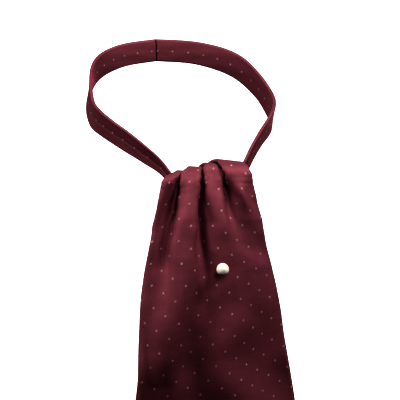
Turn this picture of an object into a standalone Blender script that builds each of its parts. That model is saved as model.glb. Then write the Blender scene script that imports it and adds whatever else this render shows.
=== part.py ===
"""A silk day cravat, tied once over, with a pearl pin.

Metres, +Z up, the front of the neck toward -Y, the origin in the middle of the
neck loop. Each blade is worked out from its cut: a direction angle is given
along the cloth, and adding up short steps in that direction gives the fold, so
the cloth keeps its own width in every pleat.
"""

import bpy
import numpy as np
from mathutils import Matrix, Vector

# Cloth thicknesses, and the gap left at seams and where pieces touch.
BLADE_THICK = 0.0012
BAND_THICK = 0.0026
WRAP_THICK = 0.0013
GAP = 0.0003

# Neckband: two halves that meet in a seam at the middle of the back.
# turn: degrees round the neck from the front; out: distance from its axis;
# up: height of the band's middle line; width: height of the folded band;
# lean: degrees by which its upper edge tips toward the neck.
BAND_COLUMNS = "turn out up width lean"
BAND_LEFT = (
    (12.9, 0.0818, -0.0396, 0.0076, 0),
    (17.4, 0.0816, -0.0380, 0.0072, 1),
    (22.4, 0.0804, -0.0337, 0.0074, 3),
    (26.0, 0.0786, -0.0288, 0.0088, 4),
    (36.2, 0.0764, -0.0192, 0.0134, 8),
    (49.0, 0.0733, -0.0112, 0.0173, 9),
    (62.0, 0.0705, -0.0060, 0.0190, 9),
    (74.0, 0.0690, -0.0024, 0.0200, 6),
    (89.0, 0.0687, 0.0022, 0.0208, -1),
    (104.0, 0.0687, 0.0119, 0.0209, -7),
    (126.0, 0.0693, 0.0268, 0.0193, -4),
    (150.0, 0.0691, 0.0346, 0.0179, 4),
    (180.0, 0.0692, 0.0380, 0.0175, 6),
)
BAND_RIGHT = (
    (4.85, 0.0800, -0.0380, 0.0072, 0),
    (9.7, 0.0803, -0.0358, 0.0076, 0),
    (16.2, 0.0808, -0.0332, 0.0080, 2),
    (19.6, 0.0797, -0.0284, 0.0088, 3),
    (24.5, 0.0778, -0.0212, 0.0102, 4),
    (32.8, 0.0750, -0.0130, 0.0130, 7),
    (47.0, 0.0714, -0.0064, 0.0172, 9),
    (62.0, 0.0694, -0.0024, 0.0196, 9),
    (74.0, 0.0686, 0.0008, 0.0210, 6),
    (89.0, 0.0685, 0.0056, 0.0219, 0),
    (104.0, 0.0687, 0.0142, 0.0219, -6),
    (126.0, 0.0693, 0.0272, 0.0199, -4),
    (150.0, 0.0691, 0.0347, 0.0180, 4),
    (180.0, 0.0692, 0.0380, 0.0175, 6),
)
BAND_STEPS = 30
BAND_CROWN = 0.0005
SEAM = 0.00026

# The knot, and the stretch of cloth wrapped round it.
KNOT_X = -0.0055
KNOT_Y = -0.0795
ARCH_TOP = -0.0260
WRAP_HALF_X = 0.0105
WRAP_HALF_Y = 0.0034
WRAP_Y = -0.0801
WRAP_LOW = -0.0480
WRAP_HIGH = -0.0360
WRAP_CROWN = 0.0004
WRAP_SQUARE = 0.82
WRAP_STEPS = 28

# Front blade.
# drop: length of cloth past the top of the arch; tip: its direction in
# degrees, 90 up, 0 level and forward, -90 down; flat: width of the cut;
# shift: sideways place of its middle; spread: degrees by which its edges fall
# away round the chest; rise: degrees by which its right side stands higher;
# a, b, c: steepness in degrees of the pleats from left to right, over 90 where
# a pleat lies over on itself; low: steepness of the broad folds below them.
BLADE_COLUMNS = "drop tip flat shift spread rise a b c low"
FRONT_BLADE = (
    (-0.0300, 91, 0.077, 0.0000, 2, 0, 161, 161, 161, 0),
    (-0.0173, 90, 0.079, 0.0000, 2, 2, 161, 161, 161, 0),
    (-0.0080, 38, 0.0830, 0.0006, 2, 3.5, 161, 161, 161, 0),
    (0.0000, 0, 0.0915, 0.0024, 3, 4.5, 156, 156, 156, 0),
    (0.0060, -26, 0.0985, -0.0002, 5, 4.5, 134, 140, 138, 0),
    (0.0110, -47, 0.1010, -0.0013, 7, 4, 104, 114, 108, 0),
    (0.0170, -69, 0.102, -0.0020, 9, 3, 88, 98, 92, 0),
    (0.0260, -77, 0.102, -0.0024, 12, 1.5, 78, 90, 81, 0),
    (0.0360, -77, 0.102, -0.0028, 14, 0, 66, 83, 67, 2),
    (0.0480, -76, 0.1015, -0.0034, 16, 0, 52, 68, 50, 5),
    (0.0620, -76, 0.1012, -0.0038, 17, 0, 35, 44, 31, 8),
    (0.0780, -77, 0.1040, -0.0040, 18, 0, 18, 20, 14, 11),
    (0.0960, -79, 0.1085, -0.0038, 19, 0, 7, 9, 5, 13),
    (0.1200, -82, 0.1162, -0.0030, 20, 0, 2, 3, 1, 14),
    (0.1500, -86, 0.1235, -0.0018, 20, 0, 0, 0, 0, 12),
    (0.2000, -89, 0.1290, -0.0015, 20, 0, 0, 0, 0, 9),
    (0.3000, -90, 0.1310, -0.0015, 20, 0, 0, 0, 0, 6),
)
FRONT_ROWS = np.array(
    (-30, -24, -17.3, -12, -6, 0, 4, 8, 11.5, 15, 19, 24, 29, 34, 40, 46, 53, 60, 68)
    + (76, 86, 96, 108, 120, 135, 150, 168, 188, 210, 234, 256, 278, 298)
) / 1000
FRONT_TIP = 0.2985

# Under blade, from the top of the wrapped stretch.
# gather: steepness in degrees of its small gathers.
UNDER_COLUMNS = "drop tip flat shift spread gather"
UNDER_BLADE = (
    (0.0000, -90, 0.0212, 0.0000, 0, 57),
    (0.0160, -88, 0.0215, 0.0000, 0, 57),
    (0.0300, -72, 0.0380, 0.0000, 4, 46),
    (0.0500, -70, 0.0600, -0.0005, 10, 30),
    (0.0800, -76, 0.0820, -0.0015, 16, 17),
    (0.1200, -82, 0.0980, -0.0025, 18, 9),
    (0.1700, -88, 0.1060, -0.0020, 19, 5),
    (0.2700, -90, 0.1100, -0.0015, 19, 3),
)
UNDER_ROWS = np.array(
    (0, 8, 16, 22, 28, 36, 46, 58, 72, 90, 110, 134, 160, 188, 212, 236, 258)
) / 1000
UNDER_TIP = 0.2595
UNDER_TOP = -0.0350
UNDER_GATHERS = 2.5
UNDER_STEPS = 20

# Pleats of the front blade, from left to right. For each: its place, as a share
# of the cut's width from its middle; how far that share moves for each metre of
# drop; its wall, the length of cloth from the bottom of the recess to the fold
# above it; and its roll, over which the panel on its left rolls into the recess.
PLEATS = (
    (-0.328, -0.36, 0.0078, 0.0042),
    (-0.032, -0.30, 0.0080, 0.0038),
    (0.218, 0.25, 0.0072, 0.0042),
)
RECESS_TURN = (0.0033, 0.0078)
FOLD_TURN = (0.0026, 0.0060)
ROLL_MORE = 0.0010

# Broad folds of the lower front blade: share of the cut's width from its
# middle, and the slope there as a share of the row's steepness.
LOW_PLACES = np.array((-0.50, -0.30, -0.21, -0.12, 0.00, 0.12, 0.26, 0.50))
LOW_SLOPES = np.array((0.5, 0.0, -1.0, 0.0, 1.0, 0.0, -0.7, -0.3))

# Side edges of both blades, turned back along the fold of the cloth.
EDGE_ROLL = 0.0036
EDGE_TURN = 62

# Pin: a pearl on a cup, a straight post and a clutch behind the cloth.
PIN_X = -0.0038
PIN_DROP = 0.0790
PEARL_RADIUS = 0.0044
POST_RADIUS = 0.0005
POST_LENGTH = 0.0066
CUP_RADIUS = 0.0024
HOLE_RADIUS = 0.0008
CLUTCH_RADIUS = 0.0040
CLUTCH_DEPTH = 0.0036
CLUTCH_PLAY = 0.0005


def table(columns, rows):
    """The rows as one array for each named column."""
    return dict(zip(columns.split(), np.array(rows, float).T))


def read(where, places, values):
    """Values between the rows of a table, along a smooth curve through them."""
    where = np.clip(where, places[0], places[-1])
    row = np.clip(np.searchsorted(places, where) - 1, 0, len(places) - 2)
    step = places[row + 1] - places[row]
    part = (where - places[row]) / step
    slope = np.gradient(values, places)
    start = (1 + 2 * part) * (1 - part) ** 2 * values[row]
    end = part**2 * (3 - 2 * part) * values[row + 1]
    lean = part * (1 - part) * step * ((1 - part) * slope[row] - part * slope[row + 1])
    return start + end + lean


def ramp(place, low, high):
    """0 up to low, 1 from high on, and a straight rise between them."""
    return np.clip((place - low) / (high - low), 0.0, 1.0)


def mix(pair, share):
    """Between the two values of a pair."""
    return pair[0] + (pair[1] - pair[0]) * share


def walk(angle, place):
    """Points of a curve that has this direction at each length along it."""
    run = np.diff(place, axis=-1)
    middle = (angle[..., 1:] + angle[..., :-1]) / 2
    start = np.zeros_like(place[..., :1])
    level = np.cumsum(np.cos(middle) * run, -1)
    height = np.cumsum(np.sin(middle) * run, -1)
    return np.concatenate((start, level), -1), np.concatenate((start, height), -1)


def sheet(name, points, thickness, closed_across=False):
    """A cloth piece: a grid of points, rows by columns, given its thickness."""
    rows, columns = points.shape[:2]
    index = np.arange(rows * columns).reshape(rows, columns)
    if closed_across:
        index = np.concatenate((index, index[:, :1]), 1)
    corners = (index[:-1, :-1], index[1:, :-1], index[1:, 1:], index[:-1, 1:])
    faces = np.stack(corners, -1).reshape(-1, 4)
    mesh = bpy.data.meshes.new(name)
    mesh.from_pydata(points.reshape(-1, 3).tolist(), [], faces.tolist())
    piece = bpy.data.objects.new(name, mesh)
    wall = piece.modifiers.new("Wall", "SOLIDIFY")
    wall.thickness = thickness
    wall.offset = 0
    wall.use_quality_normals = True
    return piece


def neckband(name, rows, side):
    """Half of the neckband: its middle line round the neck, with its width laid across."""
    band = table(BAND_COLUMNS, rows)
    turn = band["turn"][0] + (180 - band["turn"][0]) * np.linspace(0, 1, BAND_STEPS + 1) ** 1.15
    out, up, width, lean = (
        read(turn, band["turn"], band[column]) for column in ("out", "up", "width", "lean")
    )
    angle = np.radians(turn)
    middle = np.stack((side * out * np.sin(angle), -out * np.cos(angle), up), -1)
    middle[-1, 0] = side * SEAM
    along = np.gradient(middle, axis=0)
    along /= np.linalg.norm(along, axis=1, keepdims=True)
    outward = np.stack((along[:, 1], -along[:, 0], 0 * up), -1) * -side
    outward /= np.linalg.norm(outward, axis=1, keepdims=True)
    tilt = np.radians(lean)[:, None]
    across = np.cos(tilt) * np.array((0, 0, 1)) - np.sin(tilt) * outward
    across -= (across * along).sum(1, keepdims=True) * along
    across /= np.linalg.norm(across, axis=1, keepdims=True)
    # The seam is square to the band, in the plane through the middle of the back.
    across[-1] = (0, across[-1, 1], across[-1, 2])
    place = np.linspace(-0.5, 0.5, 5)
    crown = BAND_CROWN * (1 - 4 * place**2)
    points = middle[:, None] + across[:, None] * (place * width[:, None])[..., None]
    points = points + outward[:, None] * crown[:, None]
    if side > 0:
        points = points[:, ::-1]
    return sheet(name, points, BAND_THICK)


def wrap(name):
    """The stretch of cloth round the under blade's neck: an oval ring, softly crowned."""
    angle = np.linspace(0, 2 * np.pi, WRAP_STEPS, endpoint=False)
    height = np.linspace(WRAP_HIGH, WRAP_LOW, 5)[:, None]
    share = np.linspace(-1, 1, 5)[:, None]
    more = WRAP_CROWN * (1 - share**2)
    side, front = np.cos(angle), np.sin(angle)
    across = KNOT_X + (WRAP_HALF_X + more) * np.sign(side) * np.abs(side) ** WRAP_SQUARE
    out = WRAP_Y + (WRAP_HALF_Y + more) * np.sign(front) * np.abs(front) ** WRAP_SQUARE
    points = np.stack((across, out, height + 0 * angle), -1)
    return sheet(name, points, WRAP_THICK, closed_across=True)


def fall(rows, drop, start):
    """Middle line of a blade: its points forward and up, and its direction."""
    fine = np.linspace(rows["drop"][0], rows["drop"][-1], 801)
    tip = np.radians(read(fine, rows["drop"], rows["tip"]))
    forward, up = walk(tip, fine)
    forward -= np.interp(0, fine, forward)
    up -= np.interp(0, fine, up)
    y = start[0] - np.interp(drop, fine, forward)
    z = start[1] + np.interp(drop, fine, up)
    return y, z, np.interp(drop, fine, tip)


def pleat(centre, steep, wall, roll):
    """Marks along the cloth at one pleat, and a function giving its direction angle."""
    loose = ramp(np.radians(110) - steep, 0.0, np.radians(90))
    turn = mix(RECESS_TURN, loose)
    fold = mix(FOLD_TURN, loose)
    roll = roll + ROLL_MORE * loose
    left = np.minimum(steep, np.pi - steep)
    spans = ((-wall, roll, 4), (0, turn, 5), (wall, fold, 4))
    marks = [centre + at + size * np.linspace(-0.5, 0.5, count) for at, size, count in spans]

    def direction(place):
        place = place - centre
        down = ramp(place, -wall - roll / 2, -wall + roll / 2)
        back = ramp(place, -turn / 2, turn / 2)
        level = ramp(place, wall - fold / 2, wall + fold / 2)
        return (left + steep) * back - left * down - steep * level

    return np.concatenate(marks, 1), direction


def edge_turn(place, half, spread):
    """Direction angle of the side edges, which roll back once clear of the knot."""
    left = 1 - ramp(place, -half, EDGE_ROLL - half)
    right = ramp(place, half - EDGE_ROLL, half)
    return np.radians(EDGE_TURN) * ramp(spread, 3, 10) * (left - right)


def levelled(across, out, rise=0.0):
    """Each row turned until its edges are level, or rise so many degrees, its middle at 0."""
    turn = np.arctan2(out[:, -1:], across[:, -1:]) - np.radians(rise)
    span = np.hypot(out[:, -1:], across[:, -1:])
    level = across * np.cos(turn) + out * np.sin(turn) - span / 2
    return level, out * np.cos(turn) - across * np.sin(turn)


def front_section(row, flat):
    """Rows of points across the front blade: how far across, and how far out."""
    half = flat / 2
    edge = np.linspace(0, EDGE_ROLL, 3)
    marks = [edge - half]
    turns = []
    for name, (share, drift, wall, roll) in zip("abc", PLEATS):
        steep = np.radians(np.maximum(row[name], 0.5))
        share = share + drift * np.clip(row["drop"], 0, 0.1)
        at, direction = pleat(share * flat, steep, wall, roll)
        marks += [(marks[-1][:, -1:] + at[:, :1]) / 2, at]
        turns.append(direction)
    marks += [(marks[-1][:, -1:] + half - EDGE_ROLL) / 2, half - EDGE_ROLL + edge]
    panels = np.cumsum([mark.shape[1] for mark in marks])[0::2]
    place = np.concatenate(marks, 1)
    share = place / flat
    angle = sum(direction(place) for direction in turns) + edge_turn(place, half, row["spread"])
    angle -= np.radians(row["spread"]) * 2 * share
    angle += np.radians(row["low"]) * read(share, LOW_PLACES, LOW_SLOPES)
    across, out = levelled(*walk(angle, place), row["rise"])
    out -= out[:, panels[:4]].mean(1, keepdims=True)
    return place, across, out


def under_section(row, flat):
    """Rows of points across the under blade: how far across, and how far out."""
    share = np.linspace(-0.5, 0.5, UNDER_STEPS + 1)
    place = flat * share
    angle = np.radians(row["gather"]) * np.sin(2 * np.pi * UNDER_GATHERS * share)
    angle = angle - np.radians(row["spread"]) * 2 * share
    across, out = levelled(*walk(angle, place))
    out -= out.mean(1, keepdims=True)
    return place, across, out


def blade_points(rows, drop, tip, start, section):
    """Grid of points of a blade that ends in a point at this drop."""
    row = {name: read(drop, rows["drop"], rows[name])[:, None] for name in rows}
    place, across, out = section(row, row["flat"])
    # Below the shoulders of the point the rows keep only the middle of the cut.
    keep = np.minimum(row["flat"], 2.06 * (tip - drop[:, None])) / row["flat"]
    across = np.stack([np.interp(k * p, p, a) for k, p, a in zip(keep, place, across)])
    out = np.stack([np.interp(k * p, p, o) for k, p, o in zip(keep, place, out)])
    y, z, direction = fall(rows, drop, start)
    y = y[:, None] + out * np.sin(direction)[:, None]
    z = z[:, None] + out * np.cos(direction)[:, None]
    return np.stack((KNOT_X + row["shift"] + across, y, z), -1)


def turned(name, profile, steps=32):
    """A piece turned on a lathe from its profile of radius and height."""
    mesh = bpy.data.meshes.new(name)
    points = [(radius, 0, height) for radius, height in profile]
    count = len(points)
    closed = profile[0][0] > 0
    edges = [(i, (i + 1) % count) for i in range(count if closed else count - 1)]
    mesh.from_pydata(points, edges, [])
    piece = bpy.data.objects.new(name, mesh)
    lathe = piece.modifiers.new("Lathe", "SCREW")
    lathe.steps = lathe.render_steps = steps
    lathe.use_merge_vertices = True
    lathe.merge_threshold = 0.00001
    lathe.use_normal_calculate = True
    return piece


def pin_place():
    """Frame of the pin: its origin in the middle of the cloth, its Z straight out of it."""
    rows = table(BLADE_COLUMNS, FRONT_BLADE)
    drop = PIN_DROP + np.array((-0.002, 0.0, 0.002))
    grid = blade_points(rows, drop, FRONT_TIP, (KNOT_Y, ARCH_TOP), front_section)
    reach = PIN_X + np.array((-0.002, 0.0, 0.002))
    spot = [[[np.interp(x, row[:, 0], row[:, i]) for i in range(3)] for x in reach] for row in grid]
    spot = [[Vector(point) for point in line] for line in spot]
    right = (spot[1][2] - spot[1][0]).normalized()
    down = spot[2][1] - spot[0][1]
    out = down.cross(right).normalized()
    up = out.cross(right)
    return Matrix.Translation(spot[1][1]) @ Matrix((right, up, out)).transposed().to_4x4()


def pin_pieces(place):
    """The pearl, the post with its cup, and the clutch."""
    front = BLADE_THICK / 2 + GAP
    bowl = PEARL_RADIUS + GAP
    shell = bowl + 0.00045
    centre = front + shell
    first = np.arcsin(POST_RADIUS / shell)
    last = np.arcsin(CUP_RADIUS / shell)
    outside = [(shell * np.sin(a), centre - shell * np.cos(a)) for a in np.linspace(first, last, 5)]
    inside = [(bowl * np.sin(a), centre - bowl * np.cos(a)) for a in np.linspace(last, 0, 6)]
    tip = [(0, -POST_LENGTH), (POST_RADIUS * 0.6, -POST_LENGTH), (POST_RADIUS, 0.0004 - POST_LENGTH)]
    post = turned("pin_post", tip + outside + inside)

    top = -front - CLUTCH_PLAY
    waist = CLUTCH_RADIUS * 0.62
    clutch = turned(
        "pin_clutch",
        (
            (HOLE_RADIUS, top - CLUTCH_DEPTH),
            (waist, top - CLUTCH_DEPTH),
            (waist, top - 0.0020),
            (CLUTCH_RADIUS, top - 0.0012),
            (CLUTCH_RADIUS, top - 0.0004),
            (CLUTCH_RADIUS - 0.0004, top),
            (HOLE_RADIUS, top),
        ),
    )

    bpy.ops.mesh.primitive_uv_sphere_add(segments=32, ring_count=20, radius=PEARL_RADIUS)
    pearl = bpy.context.object
    pearl.name = pearl.data.name = "pin_pearl"
    post.matrix_world = clutch.matrix_world = place
    pearl.matrix_world = place @ Matrix.Translation((0, 0, centre))
    return pearl, post, clutch


def pierce(piece, place, cutters):
    """A hole through the cloth for the pin's post."""
    bpy.ops.mesh.primitive_cylinder_add(vertices=24, radius=HOLE_RADIUS, depth=0.012)
    cutter = bpy.context.object
    cutter.name = "pin_hole"
    cutter.matrix_world = place
    move(cutter, cutters)
    cutter.display_type = "WIRE"
    cutter.hide_render = True
    hole = piece.modifiers.new("Pin hole", "BOOLEAN")
    hole.operation = "DIFFERENCE"
    hole.solver = "EXACT"
    hole.object = cutter


def move(piece, collection):
    """Puts an object in this collection alone."""
    for other in list(piece.users_collection):
        other.objects.unlink(piece)
    collection.objects.link(piece)


def surface(name, colour, roughness, metallic=0.0, sheen=0.0):
    """A Principled material."""
    material = bpy.data.materials.new(name)
    material.use_nodes = True
    shader = material.node_tree.nodes["Principled BSDF"]
    shader.inputs["Base Color"].default_value = (*colour, 1)
    shader.inputs["Roughness"].default_value = roughness
    shader.inputs["Metallic"].default_value = metallic
    shader.inputs["Sheen Weight"].default_value = sheen
    return material


def main():
    for old in list(bpy.data.objects):
        bpy.data.objects.remove(old)
    cravat = bpy.data.collections.new("silk_cravat")
    cutters = bpy.data.collections.new("silk_cravat_cutters")
    cutters.hide_render = True
    for collection in (cravat, cutters):
        bpy.context.scene.collection.children.link(collection)

    front = table(BLADE_COLUMNS, FRONT_BLADE)
    under = table(UNDER_COLUMNS, UNDER_BLADE)
    front_grid = blade_points(front, FRONT_ROWS, FRONT_TIP, (KNOT_Y, ARCH_TOP), front_section)
    under_grid = blade_points(under, UNDER_ROWS, UNDER_TIP, (WRAP_Y, UNDER_TOP), under_section)
    cloth = (
        sheet("front_blade", front_grid, BLADE_THICK),
        sheet("under_blade", under_grid, BLADE_THICK),
        wrap("knot_wrap"),
        neckband("neckband_left", BAND_LEFT, -1),
        neckband("neckband_right", BAND_RIGHT, 1),
    )
    place = pin_place()
    pearl, post, clutch = pin_pieces(place)
    pierce(cloth[0], place, cutters)

    for piece in cloth:
        piece.data.materials.append(surface(piece.name, (0.16, 0.012, 0.03), 0.42, 0.0, 0.3))
    pearl.data.materials.append(surface("pin_pearl", (0.86, 0.78, 0.68), 0.2))
    for piece in (post, clutch):
        piece.data.materials.append(surface(piece.name, (0.85, 0.66, 0.34), 0.28, 1.0))
    for piece in (*cloth, pearl, post, clutch):
        move(piece, cravat)


main()
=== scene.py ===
import bmesh
import bpy
import numpy as np
from mathutils import Matrix, Vector


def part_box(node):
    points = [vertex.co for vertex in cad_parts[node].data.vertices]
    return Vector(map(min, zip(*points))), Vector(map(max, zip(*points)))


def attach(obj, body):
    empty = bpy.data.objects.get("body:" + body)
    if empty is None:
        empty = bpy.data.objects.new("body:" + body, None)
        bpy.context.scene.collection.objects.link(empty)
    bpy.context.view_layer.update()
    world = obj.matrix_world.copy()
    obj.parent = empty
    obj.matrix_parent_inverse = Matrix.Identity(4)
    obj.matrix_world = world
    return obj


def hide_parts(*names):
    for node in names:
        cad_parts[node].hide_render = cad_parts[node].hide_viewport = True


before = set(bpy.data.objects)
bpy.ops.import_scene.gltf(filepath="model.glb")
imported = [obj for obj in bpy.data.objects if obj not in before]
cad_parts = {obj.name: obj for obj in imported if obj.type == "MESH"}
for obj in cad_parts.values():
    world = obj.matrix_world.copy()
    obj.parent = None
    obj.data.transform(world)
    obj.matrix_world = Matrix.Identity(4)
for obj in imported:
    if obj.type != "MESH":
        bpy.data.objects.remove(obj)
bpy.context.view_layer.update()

bl_info = {
    "name": "Silk Day Cravat",
    "version": (1, 0, 0),
    "blender": (4, 5, 0),
    "location": "View3D > Sidebar > Cravat",
    "description": "Makes a tied silk day cravat with pin dots and a pearl pin",
    "category": "Object",
}


# ---------------------------------------------------------------------------
# The cut and the pose of the cravat, in metres and degrees, where its solids are.
# ---------------------------------------------------------------------------

# Neckband: two halves that meet in a seam at the middle of the back.
# turn: degrees round the neck from the front; out: distance from its axis;
# up: height of the band's middle line; width: height of the folded band;
# lean: degrees by which its upper edge tips away from the neck.
BAND_COLUMNS = "turn out up width lean"
BAND_LEFT = (
    (12.9, 0.0818, -0.0396, 0.0076, 0),
    (17.4, 0.0816, -0.0380, 0.0072, 1),
    (22.4, 0.0804, -0.0337, 0.0074, 3),
    (26.0, 0.0786, -0.0288, 0.0088, 4),
    (36.2, 0.0764, -0.0192, 0.0134, 8),
    (49.0, 0.0733, -0.0112, 0.0173, 9),
    (62.0, 0.0705, -0.0060, 0.0190, 9),
    (74.0, 0.0690, -0.0024, 0.0200, 6),
    (89.0, 0.0687, 0.0022, 0.0208, -1),
    (104.0, 0.0687, 0.0119, 0.0209, -7),
    (126.0, 0.0693, 0.0268, 0.0193, -4),
    (150.0, 0.0691, 0.0346, 0.0179, 4),
    (180.0, 0.0692, 0.0380, 0.0175, 6),
)
BAND_RIGHT = (
    (4.85, 0.0800, -0.0380, 0.0072, 0),
    (9.7, 0.0803, -0.0358, 0.0076, 0),
    (16.2, 0.0808, -0.0332, 0.0080, 2),
    (19.6, 0.0797, -0.0284, 0.0088, 3),
    (24.5, 0.0778, -0.0212, 0.0102, 4),
    (32.8, 0.0750, -0.0130, 0.0130, 7),
    (47.0, 0.0714, -0.0064, 0.0172, 9),
    (62.0, 0.0694, -0.0024, 0.0196, 9),
    (74.0, 0.0686, 0.0008, 0.0210, 6),
    (89.0, 0.0685, 0.0056, 0.0219, 0),
    (104.0, 0.0687, 0.0142, 0.0219, -6),
    (126.0, 0.0693, 0.0272, 0.0199, -4),
    (150.0, 0.0691, 0.0347, 0.0180, 4),
    (180.0, 0.0692, 0.0380, 0.0175, 6),
)
# Thickness of the folded band, width of the cloth on one of its faces, and the
# rounding of its edges.
BAND_THICK = 0.0026
BAND_CUT = 0.0200
BAND_EDGE = 0.0012
# Power by which its rows crowd toward the knot, and the stretch at the seam behind
# over which they turn square to it.
BAND_CROWD = 1.1
SEAM_REACH = 0.0120
# Its crown, which bulges toward the neck, and the depth and width of the groove along
# the middle of its outer face.
BAND_CROWN = 0.0005
BAND_GROOVE = (0.0004, 0.0014)
# Ridges of its inner face: full where it is drawn together to the first width, none
# at the second, where it only lies a little unevenly. They fall off toward its edges.
BAND_DRAWN = (0.0080, 0.0185)
BAND_RIDGE = 0.00042
BAND_SLACK = 0.00013
BAND_EASE = 0.0028
# Rounding of its ends, and how much sharper it is at the seam than at the knot.
BAND_END = 0.0013
SEAM_SHARP = 2.5

# The knot, and the top of the arch that the front blade makes over it.
KNOT_X = -0.0055
KNOT_Y = -0.0795
ARCH_TOP = -0.0260
# The stretch of cloth wrapped round the under blade's neck: an oval's half-axes, its
# middle, its lower and upper edge, and the power that makes it squarer than an
# ellipse; its thickness, the rounding of its edges, its crown and its ridges.
WRAP_HALF = (0.0105, 0.0034)
WRAP_Y = -0.0801
WRAP_LOW = -0.0480
WRAP_HIGH = -0.0368
WRAP_SQUARE = 0.82
WRAP_THICK = 0.0013
WRAP_EDGE = 0.0009
WRAP_CROWN = 0.0004
WRAP_RIDGE = 0.00022

# Front blade.
# drop: length of cloth past the top of the arch; tip: its direction, 90 up,
# 0 level and forward, -90 down; flat: width of the cut; shift: sideways place
# of its middle; spread: how far its edges fall away round the chest; rise: how
# far its right side stands higher; a, b, c: steepness of the pleats from left
# to right, over 90 where a pleat lies over on itself; low: steepness of the
# broad folds below them.
BLADE_COLUMNS = "drop tip flat shift spread rise a b c low"
FRONT_BLADE = (
    (-0.030, 91, 0.0770, 0.0000, 2, 0, 161, 161, 161, 0),
    (-0.017, 90, 0.0790, 0.0000, 2, 2, 161, 161, 161, 0),
    (-0.008, 38, 0.0830, 0.0005, 2, 3.5, 161, 161, 161, 0),
    (0.000, 0, 0.0915, 0.0025, 3, 4.5, 156, 156, 156, 0),
    (0.006, -23, 0.0985, 0.0000, 5, 4.5, 134, 140, 138, 0),
    (0.011, -44, 0.1010, -0.0015, 7, 4, 88, 112, 162, 0),
    (0.017, -65, 0.1020, -0.0020, 9, 3, 82, 87, 108, 0),
    (0.026, -74, 0.1020, -0.0025, 12, 1.5, 71, 76, 68, 0),
    (0.036, -75.5, 0.1020, -0.0030, 14, 0, 46, 73, 53, 2),
    (0.048, -76, 0.1015, -0.0035, 16, 0, 32, 65, 28, 5),
    (0.062, -78, 0.1010, -0.0040, 17, 0, 34, 38, 4, 8),
    (0.078, -79.5, 0.1040, -0.0040, 18, 0, 23, 22, 0, 11),
    (0.096, -81, 0.1085, -0.0040, 19, 0, 2, 11, 8, 13),
    (0.120, -83.5, 0.1160, -0.0030, 20, 0, 2, 3, 0, 14),
    (0.150, -86.5, 0.1235, -0.0020, 20, 0, 0, 0, 0, 12),
    (0.200, -89, 0.1290, -0.0015, 20, 0, 0, 0, 0, 9),
    (0.300, -90, 0.1310, -0.0015, 20, 0, 0, 0, 0, 6),
)
FRONT_TIP = 0.2985
# Stretches of its rows, each with its first and last drop and the step from row to
# row, and by how much its pin dots are shifted across and down.
FRONT_ROWS = ((-0.0300, -0.0120, 0.0012), (-0.0120, 0.0360, 0.0008), (0.0360, 0.2965, 0.0015))
FRONT_DOTS = (0.0058, 0.0054)
BLADE_THICK = 0.0012
# How far the last rows of a blade lie from its tip.
TIP_ROWS = np.array((0.0018, 0.0011, 0.0006, 0.0002))
# Width of a blade's point for each metre from its tip, and how much sharper the
# tip is rounded than the side edges.
POINT_WIDTH = 2.06
TIP_SHARP = 4
# Where the pin dots of a blade's back lie, from those of its front.
BACK_SHIFT = (0.0061, 0.0043)
# Steps in which a blade's middle line is summed.
FALL_STEPS = 801

# Pleats of the front blade, from left to right. For each: its place, as a share
# of the cut's width from its middle; how far that share moves for each metre of
# drop; its wall, the length of cloth from the bottom of the recess to the fold
# above it; and its roll, over which the panel on its left rolls into the recess.
PLEATS = (
    (-0.328, -0.36, 0.0078, 0.0042),
    (-0.032, -0.30, 0.0080, 0.0038),
    (0.218, 0.25, 0.0072, 0.0042),
)
# Length of the turn at the bottom of a recess, and at the fold above it, in a pleat
# as steep as PLEAT_TIGHT or more, and in one as slack as PLEAT_LOOSE or less; and how
# much longer the roll is in a slack one.
RECESS_TURN = (0.0033, 0.0078)
FOLD_TURN = (0.0026, 0.0060)
ROLL_MORE = 0.0010
PLEAT_TIGHT = 110
PLEAT_LOOSE = 20
# Least steepness, because the cubic between two rows can swing below none, and the
# drop over which the pleats drift.
PLEAT_LEAST = 0.5
PLEAT_DRIFT = 0.1

# Broad folds of the lower front blade: share of the cut's width from its
# middle, and the slope there as a share of the row's steepness.
LOW_PLACES = np.array((-0.50, -0.30, -0.21, -0.12, 0.00, 0.12, 0.26, 0.50))
LOW_SLOPES = np.array((0.5, 0.0, -1.0, 0.0, 1.0, 0.0, -0.7, -0.3))

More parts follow.
